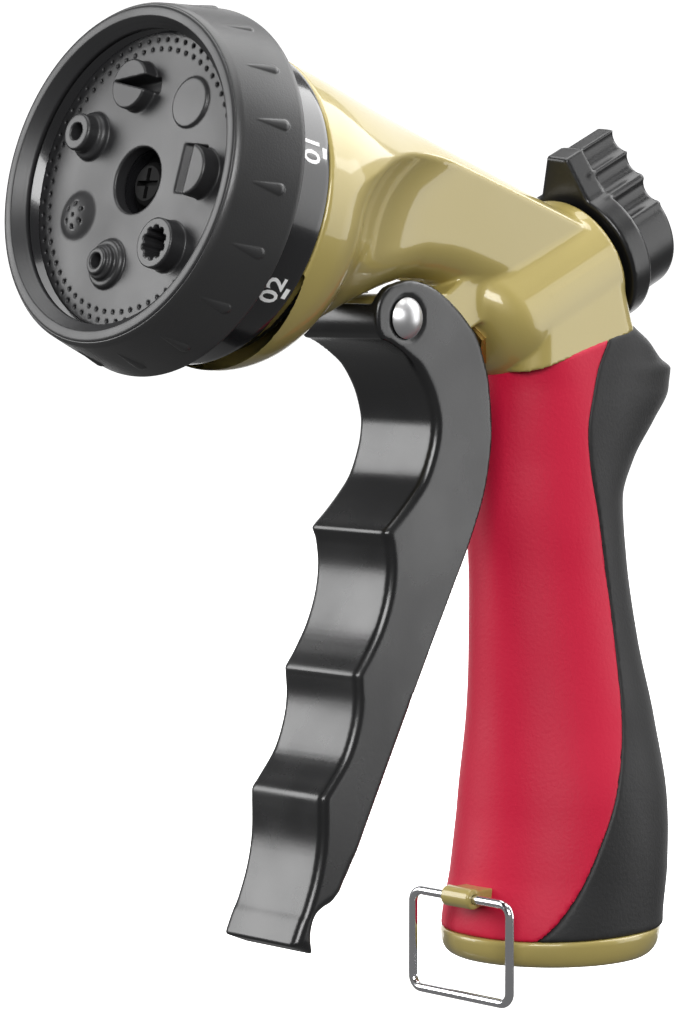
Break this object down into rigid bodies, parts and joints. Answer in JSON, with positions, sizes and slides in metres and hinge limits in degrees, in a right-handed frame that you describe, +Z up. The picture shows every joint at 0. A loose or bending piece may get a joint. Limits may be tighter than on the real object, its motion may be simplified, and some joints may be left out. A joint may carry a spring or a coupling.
{
  "type": "garden hose spray nozzle",
  "caption": "Pistol-grip hose spray nozzle with a rotating pattern head, a squeezed front trigger, a rear flow knob and a wire lock ring at the hose end.",
  "frame": {"origin": "centre of the hose inlet's mouth, at the bottom face of the hose connector", "axes": "+Z up the handle from the hose, the spray leaves towards -Y and slightly up, +X is the nozzle's left side"},
  "size_m": [0.0636, 0.1379, 0.1772],
  "materials": {
    "champagne_paint": "gloss metallic champagne paint on a die casting",
    "red_grip": "soft-touch red rubber, fine grain",
    "charcoal_grip": "soft-touch charcoal rubber, fine grain",
    "trigger_black": "satin moulded black",
    "knob_black": "semi-gloss moulded black",
    "head_black": "fine spark-eroded grain",
    "face_black": "smooth matte moulding",
    "dial_black": "smooth black",
    "dial_white": "pad-printed white numbers",
    "steel": "polished stainless wire and pins",
    "black_steel": "black-oxide screw and washer",
    "brass": "turned",
    "seal_rubber": "moulded seal"
  },
  "bodies": {
    "body": {"body_casting": "champagne_paint", "hose_connector": "champagne_paint", "hose_washer": "seal_rubber", "filter_screen": "steel", "front_grip": "red_grip", "rear_grip": "charcoal_grip", "ring_bracket": "champagne_paint", "pivot_pin": "steel", "pivot_cap": "steel", "stem_gland": "brass", "stem_seal": "seal_rubber", "valve_seat": "brass", "spindle_bonnet": "dial_black", "spindle_seal": "seal_rubber", "port_plate": "dial_black", "port_seal": "seal_rubber", "plate_seal": "seal_rubber", "detent_ball": "steel", "detent_spring": "steel", "head_washer": "black_steel", "head_screw": "black_steel"},
    "trigger_lever": {"trigger": "trigger_black"},
    "valve": {"valve_stem": "brass", "valve_washer": "seal_rubber", "return_spring": "steel"},
    "flow_control": {"flow_spindle": "brass", "flow_knob": "knob_black", "knob_screw": "steel"},
    "pattern_head": {"grip_ring": "head_black", "dial_cup": "dial_black", "spray_face": "face_black", "manifold": "dial_black", "selector_plate": "dial_black"},
    "lock_bail": {"lock_ring": "steel"}
  },
  "joints": [
    {"name": "trigger_hinge", "type": "hinge", "parent": "body", "child": "trigger_lever", "pos_m": [0, -0.0465, 0.118], "axis": [1, 0, 0], "range_deg": [0, 18], "stiffness_Nm_per_rad": 1.2, "springref_deg": -20.05},
    {"name": "stem_slide", "type": "slide", "parent": "body", "child": "valve", "axis": [0, 0.9114, 0.4115], "range_m": [0, 0.0042], "deforming": ["return_spring"]},
    {"name": "head_turn", "type": "hinge", "parent": "body", "child": "pattern_head", "pos_m": [0, -0.10355, 0.14264], "axis": [0, -0.9708, 0.2399], "continuous": true},
    {"name": "knob_turn", "type": "hinge", "parent": "body", "child": "flow_control", "pos_m": [0, -0.0109, 0.1198], "axis": [0, 0.9114, 0.4115], "range_deg": [0, 90]},
    {"name": "bail_swing", "type": "hinge", "parent": "body", "child": "lock_bail", "pos_m": [0, -0.0231, 0.0126], "axis": [1, 0, 0], "range_deg": [-110, 0]}
  ],
  "couplings": [
    {"joint": "stem_slide", "follows": "trigger_hinge", "m_per_rad": 0.013}
  ]
}
